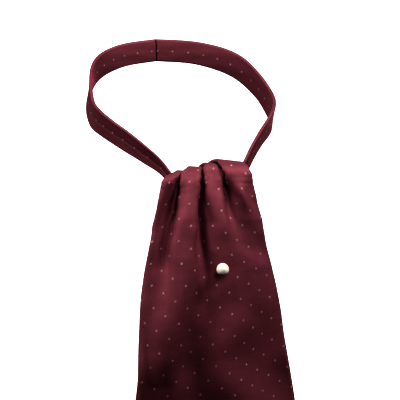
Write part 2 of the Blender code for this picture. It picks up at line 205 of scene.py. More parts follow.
# Soft folds that run down the cloth, each as a few places along it.
# drop: length of cloth down to the place; share: where the fold's middle is, as
# a share of the cut's width; width: from its middle to the steepest slope;
# steep: degrees of that slope, positive for a ridge and negative for a trough.
FOLD_COLUMNS = "drop share width steep"
FRONT_FOLDS = (
    # Valley on the left panel, beside the first pleat.
    (
        (0.012, -0.450, 0.0030, 0), (0.024, -0.420, 0.0050, -15), (0.036, -0.405, 0.0105, -26),
        (0.048, -0.400, 0.0085, -38), (0.060, -0.385, 0.0052, -32), (0.080, -0.380, 0.0045, 0),
    ),
    # Left edge of that panel, which rolls forward beside the knot.
    (
        (0.012, -0.460, 0.0030, 0), (0.034, -0.510, 0.0040, 39), (0.050, -0.500, 0.0030, 18),
        (0.070, -0.495, 0.0035, 0),
    ),
    # Shoulder of the middle panel, where it comes over the arch.
    (
        (0.004, -0.185, 0.0027, 0), (0.013, -0.155, 0.0030, 30), (0.022, -0.165, 0.0045, 31),
        (0.032, -0.165, 0.0050, 31), (0.046, -0.160, 0.0065, 0),
    ),
    # Long ridge from the middle panel down to the left.
    (
        (0.030, -0.250, 0.0070, 0), (0.050, -0.160, 0.0055, 16), (0.075, -0.170, 0.0085, 23),
        (0.100, -0.240, 0.0090, 17), (0.128, -0.315, 0.0145, 21), (0.160, -0.355, 0.0120, 0),
    ),
    # Two creases in the middle recess, which join below the second pleat.
    (
        (0.030, -0.015, 0.0026, 0), (0.045, 0.010, 0.0045, -22), (0.062, -0.020, 0.0060, -15),
        (0.078, -0.020, 0.0070, -8), (0.098, -0.010, 0.0065, 0),
    ),
    (
        (0.024, 0.020, 0.0026, 0), (0.038, 0.050, 0.0026, -36), (0.050, 0.055, 0.0030, -21),
        (0.066, 0.045, 0.0030, 0),
    ),
    # Hollow on the right panel close under the arch, and the ridge below it.
    (
        (0.004, 0.105, 0.0045, 0), (0.013, 0.080, 0.0040, -29), (0.022, 0.055, 0.0070, -4),
        (0.034, 0.150, 0.0050, 0),
    ),
    (
        (0.020, 0.115, 0.0055, 0), (0.036, 0.180, 0.0065, 12), (0.048, 0.190, 0.0050, 11),
        (0.062, 0.255, 0.0065, 6), (0.080, 0.380, 0.0090, 9), (0.100, 0.400, 0.0065, 0),
    ),
    # Crease under the third pleat, and the flap that stands up beside it.
    (
        (0.016, 0.280, 0.0026, 0), (0.030, 0.305, 0.0028, -36), (0.044, 0.300, 0.0040, -14),
        (0.058, 0.285, 0.0045, -15), (0.080, 0.320, 0.0070, 0),
    ),
    (
        (0.014, 0.390, 0.0060, 0), (0.028, 0.350, 0.0045, 35), (0.044, 0.365, 0.0065, 12),
        (0.060, 0.430, 0.0045, -5), (0.080, 0.420, 0.0045, 0),
    ),
    # Slight rise where the pin holds the cloth forward.
    ((0.052, 0.055, 0.0090, 0), (0.080, 0.060, 0.0110, 6), (0.112, 0.060, 0.0120, 0)),
    # Low down: a rise that turns into a valley, a hollow that turns into a rise, the left
    # edge, and a wide hollow on the right.
    (
        (0.080, -0.125, 0.0060, 0), (0.100, -0.155, 0.0085, 6), (0.115, -0.120, 0.0070, 6),
        (0.150, -0.145, 0.0095, -20), (0.190, -0.145, 0.0105, 0),
    ),
    (
        (0.075, 0.100, 0.0080, 0), (0.100, 0.095, 0.0115, -5), (0.116, 0.060, 0.0110, 0),
        (0.135, 0.050, 0.0070, 5), (0.170, 0.040, 0.0085, 0),
    ),
    (
        (0.085, -0.515, 0.0035, 0), (0.100, -0.480, 0.0030, 19), (0.120, -0.470, 0.0030, 35),
        (0.145, -0.455, 0.0030, 55), (0.190, -0.440, 0.0035, 0),
    ),
    (
        (0.085, 0.225, 0.0070, 0), (0.105, 0.220, 0.0120, -4), (0.120, 0.325, 0.0150, -7),
        (0.145, 0.370, 0.0320, -22), (0.190, 0.330, 0.0080, 0),
    ),
)
UNDER_FOLDS = (
    ((0.020, -0.30, 0.0040, 0), (0.060, -0.32, 0.0046, 8), (0.120, -0.34, 0.0054, 0)),
    ((0.024, -0.08, 0.0050, 0), (0.080, -0.10, 0.0056, 7), (0.150, -0.11, 0.0062, 0)),
    ((0.022, 0.13, 0.0038, 0), (0.060, 0.16, 0.0044, -8), (0.105, 0.19, 0.0050, 0)),
    ((0.030, 0.33, 0.0056, 0), (0.100, 0.35, 0.0062, 7), (0.170, 0.37, 0.0066, 0)),
    ((0.090, -0.21, 0.0080, 0), (0.160, -0.19, 0.0086, 5), (0.235, -0.17, 0.0090, 0)),
    ((0.110, 0.11, 0.0090, 0), (0.180, 0.10, 0.0096, 4), (0.245, 0.09, 0.0100, 0)),
)

# Side edges of both blades, turned back along the fold of the cloth: the turn's
# length and degrees, the spreads at which it starts and is full, the rounding of the
# edge itself, and the turn's columns as shares of its length.
EDGE_ROLL = 0.0036
EDGE_TURN = 62
EDGE_SPREAD = (3, 10)
EDGE_ROUND = 0.0011
EDGE_MARKS = np.array((0, 0.04, 0.14, 0.30, 0.50, 0.75, 1))

# Under blade, from the top of the wrapped stretch.
# gather: steepness of its small gathers.
UNDER_COLUMNS = "drop tip flat shift spread gather"
UNDER_BLADE = (
    (0.0000, -90, 0.0212, 0.0000, 0, 57),
    (0.0160, -88, 0.0215, 0.0000, 0, 57),
    (0.0300, -72, 0.0380, 0.0000, 4, 46),
    (0.0500, -70, 0.0600, -0.0005, 10, 30),
    (0.0800, -76, 0.0820, -0.0015, 16, 17),
    (0.1200, -82, 0.0980, -0.0025, 18, 9),
    (0.1700, -88, 0.1060, -0.0020, 19, 5),
    (0.2700, -90, 0.1100, -0.0015, 19, 3),
)
UNDER_TIP = 0.2595
UNDER_ROWS = ((0.0000, 0.0400, 0.0010), (0.0400, 0.2575, 0.0017))
UNDER_DOTS = (0.0030, 0.0040)
UNDER_TOP = -0.0350
# Waves of the gathers across it, the width that its columns are counted from and how
# much wider they are than the front blade's, and the turn of its side edges as a share
# of the front blade's.
UNDER_GATHERS = 2.5
UNDER_WIDEST = 0.1100
UNDER_COARSER = 1.1
UNDER_EDGE = 0.6

# The wrap and the neckband are cut on the bias, at this turn from the blades.
BIAS = 45


# ---------------------------------------------------------------------------
# Reading tables, and curves worked out from their direction
# ---------------------------------------------------------------------------


def table(columns, rows):
    """The rows as one array for each named column."""
    return dict(zip(columns.split(), np.array(rows, float).T))


def read(where, places, values):
    """Between two rows: the cubic that meets both values with the slope at each row.

    A row's slope is the one found across its two neighbours.
    """
    where = np.clip(where, places[0], places[-1])
    row = np.clip(np.searchsorted(places, where) - 1, 0, len(places) - 2)
    step = places[row + 1] - places[row]
    part = (where - places[row]) / step
    slope = np.gradient(values, places)
    start = (1 + 2 * part) * (1 - part) ** 2 * values[row]
    end = part**2 * (3 - 2 * part) * values[row + 1]
    lean = part * (1 - part) * step * ((1 - part) * slope[row] - part * slope[row + 1])
    return start + end + lean


def ramp(place, low, high):
    """0 up to low, 1 from high on, and a straight rise between them."""
    return np.clip((place - low) / (high - low), 0.0, 1.0)


def mix(pair, share):
    """Between the two values of a pair."""
    return pair[0] + (pair[1] - pair[0]) * share


def walk(angle, place):
    """Sums of cosine and of sine of the direction times the length of each short step."""
    run = np.diff(place, axis=-1)
    middle = (angle[..., 1:] + angle[..., :-1]) / 2
    start = np.zeros_like(place[..., :1])
    level = np.cumsum(np.cos(middle) * run, -1)
    height = np.cumsum(np.sin(middle) * run, -1)
    return np.concatenate((start, level), -1), np.concatenate((start, height), -1)


def finer(marks, most):
    """Each gap between columns of marks cut into equal parts no longer than most, and at least two.

    Also gives the column at which each gap starts.
    """
    widest = np.diff(marks, axis=1).max(0)
    parts = np.maximum(2, np.ceil(widest / most).astype(int))
    gap = np.repeat(np.arange(len(parts)), parts)
    share = np.concatenate([np.arange(count) / count for count in parts])
    first = np.concatenate(([0], np.cumsum(parts)))
    inner = marks[:, gap] * (1 - share) + marks[:, gap + 1] * share
    return np.concatenate((inner, marks[:, -1:]), 1), first


# ---------------------------------------------------------------------------
# Meshes
# ---------------------------------------------------------------------------


def mesh_of(name, points, quads, places, material):
    """A smooth-shaded piece at the origin from vertices and four-cornered faces.

    Each corner of a face has its UV place on the cloth in metres.
    """
    mesh = bpy.data.meshes.new(name)
    mesh.vertices.add(len(points))
    mesh.vertices.foreach_set("co", points.astype(np.float32).ravel())
    mesh.loops.add(quads.size)
    mesh.loops.foreach_set("vertex_index", quads.astype(np.int32).ravel())
    mesh.polygons.add(len(quads))
    mesh.polygons.foreach_set("loop_start", np.arange(0, quads.size, 4, dtype=np.int32))
    mesh.polygons.foreach_set("use_smooth", np.ones(len(quads), bool))
    layer = mesh.uv_layers.new(name="Cloth")
    layer.data.foreach_set("uv", places.astype(np.float32).ravel())
    mesh.update(calc_edges=True)
    mesh.validate()
    mesh.materials.append(material)
    piece = bpy.data.objects.new(name, mesh)
    bpy.context.scene.collection.objects.link(piece)
    return piece


def corners(index):
    """Faces of a grid of vertex numbers, rows downward and columns to the right, seen from outside."""
    faces = (index[:-1, :-1], index[1:, :-1], index[1:, 1:], index[:-1, 1:])
    return np.stack(faces, -1).reshape(-1, 4)


def normals(points, ring=False):
    """Unit cross product of the steps down the rows and along the columns."""
    down = np.gradient(points, axis=0)
    if ring:
        along = (np.roll(points, -1, 1) - np.roll(points, 1, 1)) / 2
    else:
        along = np.gradient(points, axis=1)
    out = np.cross(down, along)
    return out / np.maximum(np.linalg.norm(out, axis=2, keepdims=True), 1e-12)


def rounded(place, size):
    """Height of a quarter circle of this radius: 0 at its edge, 1 from size inward."""
    left = 1 - np.clip(place / size, 0, 1)
    return np.sqrt(np.maximum(0, 1 - left**2))


def pillow(name, middle, half, places, back_places, material, ring=False):
    """A closed cloth from its middle surface: each face lies half a thickness to its side along the normal.

    Half the thickness is 0 along the rim, where both faces share their vertices.
    A ring's last column is its first one.
    """
    rows, columns = middle.shape[:2]
    out = normals(middle, ring) * half[..., None]
    front = np.arange(rows * columns).reshape(rows, columns)
    back = front.copy()
    inside = (slice(1, -1), slice(None) if ring else slice(1, -1))
    back[inside] = rows * columns + np.arange(back[inside].size).reshape(back[inside].shape)
    points = np.concatenate(((middle + out).reshape(-1, 3), (middle - out)[inside].reshape(-1, 3)))
    if ring:
        front, back = (np.concatenate((index, index[:, :1]), 1) for index in (front, back))
    quads = np.concatenate((corners(front), corners(back)[:, ::-1]))
    cell = corners(np.arange(places[..., 0].size).reshape(places.shape[:2]))
    uv = np.concatenate((places.reshape(-1, 2)[cell], back_places.reshape(-1, 2)[cell[:, ::-1]]))
    return mesh_of(name, points, quads, uv, material)


def turned(name, profile, steps, material, ripple=None):
    """A lathe about +Z: radius and height pairs, from below and up the outside, carried round a circle.

    ripple gives the radius of each profile point at each angle as a share of its own.
    """
    profile = np.array(profile, float)
    angle = np.linspace(0, 2 * np.pi, steps, endpoint=False)
    radius = profile[:, :1] * (1 if ripple is None else ripple(angle, profile[:, 1:2]))
    points = np.stack((
        radius * np.cos(angle),
        radius * np.sin(angle),
        profile[:, 1:2] + 0 * angle,
    ), -1)
    index = np.arange(points[:, :, 0].size).reshape(len(profile), steps)
    index = np.concatenate((index, index[:, :1]), 1)
    along = np.linspace(0, 1, len(profile))[:, None] + 0 * angle
    turn = angle / (2 * np.pi) + 0 * along
    uv = np.stack((turn, along), -1).reshape(-1, 2)
    quads = corners(index[::-1])
    piece = mesh_of(name, points.reshape(-1, 3), quads, uv[quads], material)
    weld(piece.data)
    return piece


def weld(mesh):
    """Points that lie together become one, which closes the poles."""
    work = bmesh.new()
    work.from_mesh(mesh)
    bmesh.ops.remove_doubles(work, verts=work.verts, dist=1e-7)
    work.to_mesh(mesh)
    work.free()


# ---------------------------------------------------------------------------
# The cloth's surfaces
# ---------------------------------------------------------------------------


def fall(rows, drop, start):
    """Middle line of a blade: sums of short steps along its direction, forward and up from its start."""
    fine = np.linspace(rows["drop"][0], rows["drop"][-1], FALL_STEPS)
    tip = np.radians(read(fine, rows["drop"], rows["tip"]))
    forward, up = walk(tip, fine)
    forward -= np.interp(0, fine, forward)
    up -= np.interp(0, fine, up)
    y = start[0] - np.interp(drop, fine, forward)
    z = start[1] + np.interp(drop, fine, up)
    return y, z, np.interp(drop, fine, tip)


def pleat(centre, steep, wall, roll):
    """Marks along the cloth at one pleat, and its direction angle.

    The angle is a sum of straight ramps: down over the roll, back up in the recess,
    and level again past the fold.
    """
    loose = ramp(np.radians(PLEAT_TIGHT) - steep, 0.0, np.radians(PLEAT_TIGHT - PLEAT_LOOSE))
    turn = mix(RECESS_TURN, loose)
    fold = mix(FOLD_TURN, loose)
    roll = roll + ROLL_MORE * loose
    left = np.minimum(steep, np.pi - steep)
    spans = ((-wall, roll, 4), (0, turn, 5), (wall, fold, 4))
    marks = [centre + at + size * np.linspace(-0.5, 0.5, count) for at, size, count in spans]

    def direction(place):
        place = place - centre
        down = ramp(place, -wall - roll / 2, -wall + roll / 2)
        back = ramp(place, -turn / 2, turn / 2)
        level = ramp(place, wall - fold / 2, wall + fold / 2)
        return (left + steep) * back - left * down - steep * level

    return np.concatenate(marks, 1), direction


def edge_turn(place, half, spread):
    """Direction angle of the side edges: a straight rise to the full turn over the last few millimetres."""
    left = 1 - ramp(place, -half, EDGE_ROLL - half)
    right = ramp(place, half - EDGE_ROLL, half)
    return np.radians(EDGE_TURN) * ramp(spread, *EDGE_SPREAD) * (left - right)


def folded(place, flat, drop, folds):
    """Direction angle of the soft folds, each worked out from u, the place beside it over its width.

    A ridge climbs to its middle and falls past it, as -u exp((1 - u u) / 2) times its steepness.
    """
    angle = np.zeros_like(place)
    for fold in folds:
        fold = table(FOLD_COLUMNS, fold)
        share, width, steep = (read(drop, fold["drop"], fold[name]) for name in ("share", "width", "steep"))
        steep = np.where((drop > fold["drop"][0]) & (drop < fold["drop"][-1]), steep, 0)
        beside = (place - share * flat) / width
        angle -= np.radians(steep) * beside * np.exp((1 - beside**2) / 2)
    return angle


def levelled(across, out, rise=0.0):
    """Each row turned until its edges are level, or rise so many degrees, with its middle at 0."""
    turn = np.arctan2(out[:, -1:], across[:, -1:]) - np.radians(rise)
    span = np.hypot(out[:, -1:], across[:, -1:])
    level = across * np.cos(turn) + out * np.sin(turn) - span / 2
    return level, out * np.cos(turn) - across * np.sin(turn)


def front_section(row, drop, most):
    """Rows of points across the front blade: place on the cloth, how far across, and how far out."""
    flat = row["flat"]
    half = flat / 2
    edge = EDGE_ROLL * EDGE_MARKS
    marks = [edge - half]
    turns = []
    for name, (share, drift, wall, roll) in zip("abc", PLEATS):
        steep = np.radians(np.maximum(row[name], PLEAT_LEAST))
        share = share + drift * np.clip(row["drop"], 0, PLEAT_DRIFT)
        at, direction = pleat(share * flat, steep, wall, roll)
        marks += [(marks[-1][:, -1:] + at[:, :1]) / 2, at]
        turns.append(direction)
    marks += [(marks[-1][:, -1:] + half - EDGE_ROLL) / 2, half - edge[::-1]]
    # The row stands at the mean height of the middles of its four panels.
    panels = np.cumsum([mark.shape[1] for mark in marks])[0:-1:2]
    place, first = finer(np.sort(np.concatenate(marks, 1)), most)
    share = place / flat
    angle = sum(direction(place) for direction in turns) + edge_turn(place, half, row["spread"])
    angle -= np.radians(row["spread"]) * 2 * share
    angle += np.radians(row["low"]) * read(share, LOW_PLACES, LOW_SLOPES)
    angle += folded(place, flat, drop, FRONT_FOLDS)
    across, out = levelled(*walk(angle, place), row["rise"])
    out -= out[:, first[panels]].mean(1, keepdims=True)
    return place, across, out


def under_section(row, drop, most):
    """Rows of points across the under blade: place on the cloth, how far across, and how far out."""
    share = np.linspace(-0.5, 0.5, int(UNDER_WIDEST / most))
    place = row["flat"] * share
    angle = np.radians(row["gather"]) * np.sin(2 * np.pi * UNDER_GATHERS * share)
    angle = angle - np.radians(row["spread"]) * 2 * share
    angle += edge_turn(place, row["flat"] / 2, row["spread"]) * UNDER_EDGE
    angle += folded(place, row["flat"], drop, UNDER_FOLDS)
    across, out = levelled(*walk(angle, place))
    out -= out.mean(1, keepdims=True)
    return place, across, out


def blade(name, rows, drop, tip, start, section, most, thickness, material):
    """A lined blade: each row's section stands square to the blade's middle line.

    Toward the tip the sections keep less and less of the cut, which makes the point.
    """
    row = {column: read(drop, rows["drop"], rows[column])[:, None] for column in rows}
    place, across, out = section(row, drop[:, None], most)
    # Below the shoulders of the point the rows keep only the middle of the cut.
    keep = np.minimum(row["flat"], POINT_WIDTH * (tip - drop[:, None])) / row["flat"]
    across = np.stack([np.interp(k * p, p, a) for k, p, a in zip(keep, place, across)])
    out = np.stack([np.interp(k * p, p, o) for k, p, o in zip(keep, place, out)])
    place = place * keep
    y, z, direction = fall(rows, drop, start)
    y = y[:, None] + out * np.sin(direction)[:, None]
    z = z[:, None] + out * np.cos(direction)[:, None]
    middle = np.stack((KNOT_X + row["shift"] + across, y, z), -1)
    side = np.minimum(place - place[:, :1], place[:, -1:] - place)
    end = np.minimum(drop - drop[0], (drop[-1] - drop) * TIP_SHARP)[:, None]
    half = thickness / 2 * rounded(side, EDGE_ROUND) * rounded(end, EDGE_ROUND)
    uv = np.stack((place, drop[:, None] + 0 * place), -1)
    under = uv * (-1, 1) + BACK_SHIFT
    piece = pillow(name, middle, half, uv, under, material)
    cut = float(np.sum((row["flat"] * keep)[:-1, 0] * np.diff(drop)))
    return piece, (float(row["flat"].max()), float(drop[-1] - drop[0])), cut


def band_path(rows, side, steps):
    """Half of the neckband's middle line: its points, its directions across and inward, width and run.

    Inward is level, square to the line and toward the neck. Across is upright, tipped
    away from the neck by the row's lean and then turned square to the line.
    """
    band = table(BAND_COLUMNS, rows)
    turn = band["turn"][0] + (180 - band["turn"][0]) * np.linspace(0, 1, steps) ** BAND_CROWD
    out, up, width, lean = (
        read(turn, band["turn"], band[column]) for column in ("out", "up", "width", "lean")
    )
    angle = np.radians(turn)
    middle = np.stack((side * out * np.sin(angle), -out * np.cos(angle), up), -1)
    along = np.gradient(middle, axis=0)
    length = np.linalg.norm(along, axis=1, keepdims=True)
    along /= length
    inward = np.stack((along[:, 1], -along[:, 0], 0 * up), -1) * -side
    inward /= np.linalg.norm(inward, axis=1, keepdims=True)
    tilt = np.radians(lean)[:, None]
    across = np.cos(tilt) * np.array((0, 0, 1)) - np.sin(tilt) * inward
    across -= (across * along).sum(1, keepdims=True) * along
    across /= np.linalg.norm(across, axis=1, keepdims=True)
    run = np.cumsum(length[:, 0])
    # Toward the seam the rows turn square to it, so that neither half passes it.
    across[:, 0] *= ramp(run[-1] - run, 0, SEAM_REACH)
    return middle, across, inward, width, run


def band_depth(place, face, width, run, thickness):
    """How far each point of the neckband's sections stands in from its middle line, toward the neck.

    Half a thickness to each side, rounded at the edges and ends, with a crown that
    falls off as the square of the place across. Where the band is drawn together at
    the knot, the spare cloth stands up in a few lengthwise ridges, a sum of cosines.
    """
    near = np.clip(1 - np.abs(place), 0, 1)[None] * width[:, None] / 2
    half = thickness / 2 * rounded(near, BAND_EDGE)
    drawn = 1 - ramp(width, *BAND_DRAWN)[:, None]
    ridges = np.cos(7.3 * place + 0.8) * 0.6 + np.cos(13.1 * place + 2.0 + 25 * run[:, None]) * 0.4
    slack = np.cos(4.1 * place + 60 * run[:, None]) * np.cos(95 * run[:, None] + 1.7 * place)
    lift = rounded(near, BAND_EASE) * (BAND_RIDGE * drawn * ridges + BAND_SLACK * (1 - drawn) * slack)
    groove, groove_width = BAND_GROOVE
    seam = groove * np.exp(-((place * width[:, None] / groove_width) ** 2))
    end = rounded(np.minimum(run - run[0], (run[-1] - run) * SEAM_SHARP)[:, None], BAND_END)
    depth = end * (half + np.where(face > 0, lift, -seam)) * face
    return depth + BAND_CROWN * (1 - place**2)


def neckband(name, rows, side, steps, around, thickness, material):
    """Half of the neckband: a flat tube of cloth, its section carried along its middle line.

    Round the section, the place across goes as the sine of the angle, drawn a little
    toward the edges, and the inner face is where the angle's cosine is above 0.
    A known fault: the faces of both halves point into the tube, not out of it.
    """
    middle, across, inward, width, run = band_path(rows, side, steps)
    theta = np.linspace(0, 2 * np.pi, around, endpoint=False)
    place = np.sin(theta) * (1 + 0.10 * np.cos(theta) ** 2)
    place /= np.abs(place).max()
    depth = band_depth(place, np.sign(np.cos(theta)), width, run, thickness)
    points = (
        middle[:, None]
        + across[:, None] * (place * width[:, None] / 2)[..., None]
        + inward[:, None] * depth[..., None]
    )
    index = np.arange(steps * around).reshape(steps, around)
    index = np.concatenate((index, index[:, :1]), 1)
    spread = np.concatenate((place, place[:1]))
    if side < 0:
        index, spread = index[:, ::-1], spread[::-1]
    uv = np.stack((run[:, None] + 0 * spread, 0 * run[:, None] + BAND_CUT / 2 * spread), -1).reshape(-1, 2)
    quads = corners(index)
    cells = corners(np.arange(steps * (around + 1)).reshape(steps, around + 1))
    piece = mesh_of(name, points.reshape(-1, 3), quads, uv[cells], material)
    weld(piece.data)
    cut = float(np.sum((width[1:] + width[:-1]) / 2 * np.diff(run)))
    return piece, (float(width.max()), float(run[-1] - run[0])), cut


def wrap(name, steps, around, thickness, material):
    """Stretch of cloth round the under blade's neck.

    Its section is an oval: each half-axis times a power of the angle's cosine or sine.
    It is softly crowned from top to bottom, with a few ridges lengthwise round it.
    """
    angle = np.linspace(0, 2 * np.pi, around, endpoint=False)
    share = np.linspace(-1, 1, steps)[:, None]
    ridges = np.cos(5.2 * share + 0.9 * np.sin(angle + 0.6))
    more = WRAP_CROWN * (1 - share**2) + WRAP_RIDGE * ridges * (1 - share**4)
    side, front = np.cos(angle), np.sin(angle)
    across = KNOT_X + (WRAP_HALF[0] + more) * np.sign(side) * np.abs(side) ** WRAP_SQUARE
    out = WRAP_Y + (WRAP_HALF[1] + more) * np.sign(front) * np.abs(front) ** WRAP_SQUARE
    up = mix((WRAP_HIGH, WRAP_LOW), (share + 1) / 2) + 0 * angle
    middle = np.stack((across, out, up), -1)
    place = np.minimum(share + 1, 1 - share) * (WRAP_HIGH - WRAP_LOW) / 2
    half = thickness / 2 * rounded(place, WRAP_EDGE) + 0 * angle
    whole = np.concatenate((middle, middle[:, :1]), 1)
    step = np.linalg.norm(np.diff(whole, axis=1), axis=2).mean(0)
    run = np.concatenate(((0,), np.cumsum(step)))
    uv = np.stack((run + 0 * share, up[:, :1] + 0 * run), -1)
    piece = pillow(name, middle, half, uv, uv * (-1, 1), material, ring=True)
    size = (WRAP_HIGH - WRAP_LOW, float(run[-1]))
    return piece, size, size[0] * size[1]


# ---------------------------------------------------------------------------
# The pin
# ---------------------------------------------------------------------------

# Heights are measured along the pin, forward from the middle of the cloth.
PEARL_RADIUS = 0.0044
PEARL_OUT = 0.00605
# Cup: its rim's radius, its wall, and the glue between it and the pearl.
CUP_RADIUS = 0.0024
CUP_WALL = 0.00045
CUP_GLUE = 0.0003
# Post: how far it reaches back, and the length of its point and of the point's end.
POST_RADIUS = 0.0005
POST_LENGTH = 0.0066
POST_POINT = 0.0009
POST_BLUNT = 0.00012
# Groove of the post that the clutch's spring holds: its lower and upper end, the
# length of its slopes, and its radius as a share of the post's.
GROOVE_LOW = -0.0036
GROOVE_TOP = -0.0028
GROOVE_SLOPE = 0.0002
GROOVE_NECK = 0.8
# Clutch: its waist and belly as shares of its radius and of its waist, the hole for
# the post, the bevel of its edges, and the lower and upper end of its rim and of the
# rim's fine grooves.
CLUTCH_RADIUS = 0.0040
CLUTCH_TOP = -0.0014
CLUTCH_DEPTH = 0.0036
CLUTCH_WAIST = 0.62
CLUTCH_BELLY = 1.12
CLUTCH_HOLE = 0.0008
CLUTCH_BEVEL = 0.0003
RIM_LOW = CLUTCH_TOP - 0.0012
RIM_TOP = CLUTCH_TOP - 0.0004
KNURL_LOW = CLUTCH_TOP - 0.0013
KNURL_TOP = CLUTCH_TOP - 0.0003


def pin_frame():
    """Origin and directions of the pin: its Z runs from the clutch's middle to the pearl's."""
    low, high = (np.array(corner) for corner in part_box("pin_pearl"))
    pearl = Vector((low + high) / 2)
    clutch = bpy.data.objects["pin_clutch"].data
    points = np.empty(len(clutch.vertices) * 3, np.float32)
    clutch.vertices.foreach_get("co", points)
    out = (pearl - Vector(points.reshape(-1, 3).astype(float).mean(0))).normalized()
    right = Vector((0, 0, 1)).cross(out).normalized()
    turn = Matrix((right, out.cross(right), out)).transposed().to_4x4()
    return Matrix.Translation(pearl - out * PEARL_OUT) @ turn


def arc(radius, centre, first, last, count):
    """Radius and height pairs along a circle about (0, centre), between two angles from straight down."""
    angle = np.radians(np.linspace(first, last, count))
    return list(zip(radius * np.sin(angle), centre - radius * np.cos(angle)))


def bevelled(corners_of, size, count=4):
    """The profile with a quadratic curve for each inner corner, which starts and ends this far from it."""
    points = np.array(corners_of, float)
    made = [points[0]]
    share = np.linspace(0, 1, count)[:, None]
    for before, corner, after in zip(points[:-2], points[1:-1], points[2:]):
        reach = [min(size, 0.45 * np.linalg.norm(end - corner)) for end in (before, after)]
        start = corner + (before - corner) / np.linalg.norm(before - corner) * reach[0]
        end = corner + (after - corner) / np.linalg.norm(after - corner) * reach[1]
        made.extend((1 - share) ** 2 * start + 2 * share * (1 - share) * corner + share**2 * end)
    made.append(points[-1])
    return made


def uneven(angle, height):
    """Radius of a pearl as a share of its own: two slow waves, under one in a hundred."""
    rise = height / PEARL_RADIUS
    return 1 + 0.0045 * np.cos(2 * angle + 3 * rise) + 0.003 * np.cos(3 * angle - 5 * rise + 1)


def knurled(angle, height):
    """Radius of the clutch as a share of its own: 36 fine grooves round its rim only."""
    rim = (height > KNURL_LOW) & (height < KNURL_TOP)
    return 1 - 0.035 * rim * np.abs(np.sin(18 * angle))


def post_profile():
    """Radius and height pairs of the post, from its blunt point up past its groove."""
    neck = POST_RADIUS * GROOVE_NECK
    return [
        (0, -POST_LENGTH),
        (POST_RADIUS * 0.3, POST_BLUNT - POST_LENGTH),
        (POST_RADIUS, POST_POINT - POST_LENGTH),
        (POST_RADIUS, GROOVE_LOW),
        (neck, GROOVE_LOW + GROOVE_SLOPE),
        (neck, GROOVE_TOP - GROOVE_SLOPE),
        (POST_RADIUS, GROOVE_TOP),
    ]


def cup_profile(bowl):
    """Radius and height pairs of the cup, from the post round its rim to the middle of its bowl."""
    shell = bowl + CUP_WALL
    first = np.degrees(np.arcsin(POST_RADIUS / shell))
    last = np.degrees(np.arcsin(CUP_RADIUS / shell))
    outside = arc(shell, PEARL_OUT, first, last, 12)
    rim = arc(bowl + CUP_WALL / 2, PEARL_OUT, last + 1.5, last + 1.5, 1)
    return outside + rim + arc(bowl, PEARL_OUT, last, 0, 16)


def clutch_profile():
    """Radius and height pairs of the clutch, from the inside of its hole round it and back."""
    low, inner = CLUTCH_TOP - CLUTCH_DEPTH, CLUTCH_TOP - CLUTCH_DEPTH + 0.0012
    waist = CLUTCH_RADIUS * CLUTCH_WAIST
    return bevelled((
        (CLUTCH_HOLE, inner), (CLUTCH_HOLE, low), (waist, low), (waist, low + 0.0011),
        (waist * CLUTCH_BELLY, low + 0.0014), (waist, CLUTCH_TOP - 0.0019),
        (CLUTCH_RADIUS, RIM_LOW), (CLUTCH_RADIUS, RIM_TOP),
        (CLUTCH_RADIUS - 0.0004, CLUTCH_TOP), (CLUTCH_HOLE, CLUTCH_TOP), (CLUTCH_HOLE, inner),
    ), CLUTCH_BEVEL)


# ---------------------------------------------------------------------------
# Materials
# ---------------------------------------------------------------------------


def node(tree, kind, inputs=(), **settings):
    """A node with its settings. Each of its inputs is a value, or an output that is linked to it."""
    made = tree.nodes.new("ShaderNode" + kind)
    for key, value in settings.items():
        setattr(made, key, value)
    for key, value in dict(inputs).items():
        if isinstance(value, bpy.types.NodeSocket):
            tree.links.new(value, made.inputs[key])
        else:
            made.inputs[key].default_value = value
    return made


def math(tree, operation, *values):
    """Output of a Math node with these inputs."""
    return node(tree, "Math", enumerate(values), operation=operation).outputs[0]


def vector(tree, operation, first, second=(0, 0, 0), output=0):
    """Output of a Vector Math node with these inputs."""
    made = node(tree, "VectorMath", {0: first, 1: second}, operation=operation)
    return made.outputs[output]


def noise(tree, place, scale, detail=2.0, roughness=0.5):
    """Output of a Noise Texture."""
    inputs = {"Vector": place, "Scale": scale, "Detail": detail, "Roughness": roughness}
    return node(tree, "TexNoise", inputs).outputs["Fac"]


def spread(tree, value, low, high):
    """A 0 to 1 value carried to the range from low to high."""
    return node(tree, "MapRange", {0: value, 3: low, 4: high}).outputs[0]


def blend(tree, share, first, second):
    """Colour output of a Mix node."""
    return node(tree, "Mix", {"Factor": share, 6: first, 7: second}, data_type="RGBA").outputs[2]


def dots(tree, place, cell, radius):
    """Pin dots on a staggered lattice: a soft-edged mask, and a value of each dot's own.

    The place is divided by the cell, and its distance from the middle of its cell is
    taken twice, the second time with the lattice moved by half a cell both ways. The
    mask is full within 0.78 of the radius of the nearer middle and none past 1.22.
    """
    found = []
    for move in (0.0, 0.5):
        share = vector(tree, "ADD", vector(tree, "DIVIDE", place, (*cell, 1)), (move, move, 0))
        middle = vector(tree, "ADD", vector(tree, "FLOOR", share), (0.5, 0.5, 0))
        apart = vector(tree, "MULTIPLY", vector(tree, "SUBTRACT", share, middle), (*cell, 0))
        seed = vector(tree, "ADD", middle, (7.3 * move, 3.1 * move, 0))
        hue = node(tree, "TexWhiteNoise", {"Vector": seed}).outputs["Value"]
        found.append((vector(tree, "LENGTH", apart, output=1), hue))
    (near, hue), (other, other_hue) = found
    nearer = math(tree, "LESS_THAN", near, other)
    least = math(tree, "MINIMUM", near, other)
    soft = node(tree, "MapRange", {0: least, 1: radius * 1.22, 2: radius * 0.78, 3: 0, 4: 1})
    soft.interpolation_type = "SMOOTHSTEP"
    own = math(tree, "MULTIPLY", hue, nearer)
    other_own = math(tree, "MULTIPLY", other_hue, math(tree, "SUBTRACT", 1, nearer))
    return soft.outputs[0], math(tree, "ADD", own, other_own)


